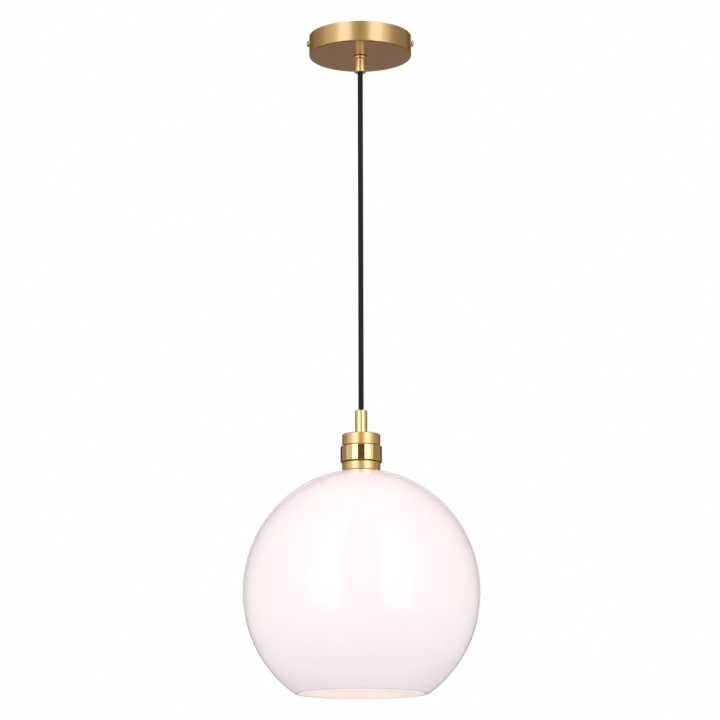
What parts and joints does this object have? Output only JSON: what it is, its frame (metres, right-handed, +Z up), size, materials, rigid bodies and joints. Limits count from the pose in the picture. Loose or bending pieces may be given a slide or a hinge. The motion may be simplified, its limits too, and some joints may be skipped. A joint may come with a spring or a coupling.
{
  "type": "pendant ceiling light",
  "caption": "Globe pendant: a round gold canopy, a straight black cord, a stepped gold socket and an open white opal glass globe.",
  "frame": {"origin": "on the ceiling plane, in the middle of the crossbar's flat top face, on the pendant's axis", "axes": "+Z up out of the ceiling face, along the cord; +X along the crossbar, towards the right side screw; -Y towards the viewer"},
  "size_m": [0.2798, 0.2798, 0.8027],
  "materials": {
    "brushed_gold": "brushed satin gold plating",
    "polished_brass": "mirror polished, clear lacquered",
    "plain_brass": "plain machined brass",
    "zinc_steel": "bright zinc plated steel",
    "black_braid": "black braided textile over a rubber cable",
    "opal_glass": "glossy opaque white opal glass",
    "bulb_glass": "frosted white bulb glass",
    "bulb_metal": "nickel plated screw cap",
    "porcelain": "glazed cream porcelain",
    "rubber": "matt black silicone rubber",
    "green_metal": "green plated ground screw",
    "black_insulation": "black wire insulation",
    "white_insulation": "white wire insulation",
    "green_insulation": "green wire insulation",
    "orange_plastic": "orange moulded plastic",
    "green_plastic": "green moulded plastic"
  },
  "bodies": {
    "root": {"crossbar": "zinc_steel", "canopy": "brushed_gold", "canopy_screw_left": "polished_brass", "canopy_screw_right": "polished_brass", "ground_screw": "green_metal", "canopy_washer": "zinc_steel", "canopy_lock_nut": "plain_brass", "upper_grip_collar": "brushed_gold", "upper_cord_grip": "brushed_gold", "upper_grip_screw": "zinc_steel", "cord_upper_end": "black_braid", "canopy_lead_live": "black_insulation", "wire_connector_live": "orange_plastic", "canopy_lead_neutral": "white_insulation", "wire_connector_neutral": "orange_plastic", "canopy_lead_ground": "green_insulation", "wire_connector_ground": "green_plastic"},
    "cord_neck": {"cord_neck": "black_braid"},
    "cord": {"cord": "black_braid"},
    "cord_tail": {"cord_tail": "black_braid"},
    "head": {"lower_cord_grip": "brushed_gold", "lower_grip_screw": "zinc_steel", "socket_cap": "brushed_gold", "polished_ring": "polished_brass", "lower_sleeve": "brushed_gold", "coupling_tube": "plain_brass", "head_washer": "zinc_steel", "head_lock_nut": "plain_brass", "lampholder_cap": "porcelain", "lampholder_body": "porcelain", "screw_shell": "plain_brass", "centre_contact": "plain_brass", "terminal_screw_live": "plain_brass", "head_lead_live": "black_insulation", "terminal_screw_neutral": "plain_brass", "head_lead_neutral": "white_insulation", "head_ground_screw": "green_metal", "head_lead_ground": "green_insulation", "cord_lower_end": "black_braid", "upper_gasket": "rubber"},
    "shade": {"glass_globe": "opal_glass", "lower_gasket": "rubber"},
    "shade_ring": {"shade_ring": "plain_brass"},
    "bulb_tip": {"bulb_contact": "bulb_metal"},
    "bulb": {"bulb_cap": "bulb_metal", "bulb_glass": "bulb_glass"}
  },
  "joints": [
    {"name": "swing_side", "type": "hinge", "parent": "root", "child": "cord_neck", "pos_m": [0, 0, -0.0437], "axis": [0, 1, 0], "range_deg": [-25, 25]},
    {"name": "swing_front", "type": "hinge", "parent": "cord_neck", "child": "cord", "pos_m": [0, 0, -0.0523], "axis": [1, 0, 0], "range_deg": [-25, 25]},
    {"name": "cord_twist", "type": "hinge", "parent": "cord", "child": "cord_tail", "pos_m": [0, 0, -0.4668], "axis": [0, 0, 1], "range_deg": [-180, 180], "stiffness_Nm_per_rad": 0.008},
    {"name": "head_tilt", "type": "hinge", "parent": "cord_tail", "child": "head", "pos_m": [0, 0, -0.4682], "axis": [0, 1, 0], "range_deg": [-25, 25]},
    {"name": "shade_drop", "type": "slide", "parent": "head", "child": "shade", "axis": [0, 0, -1], "range_m": [0, 0.0125]},
    {"name": "shade_ring_unscrew", "type": "hinge", "parent": "shade", "child": "shade_ring", "pos_m": [0, 0, -0.549], "axis": [0, 0, -1], "range_deg": [0, 1800]},
    {"name": "bulb_drop", "type": "slide", "parent": "head", "child": "bulb_tip", "axis": [0, 0, -1], "range_m": [0, 0.02177]},
    {"name": "bulb_unscrew", "type": "hinge", "parent": "bulb_tip", "child": "bulb", "pos_m": [0, 0, -0.545], "axis": [0, 0, -1], "range_deg": [0, 2160]}
  ],
  "couplings": [
    {"joint": "shade_ring_unscrew", "follows": "shade_drop", "rad_per_m": 2513.3},
    {"joint": "bulb_unscrew", "follows": "bulb_drop", "rad_per_m": 1731.6}
  ]
}
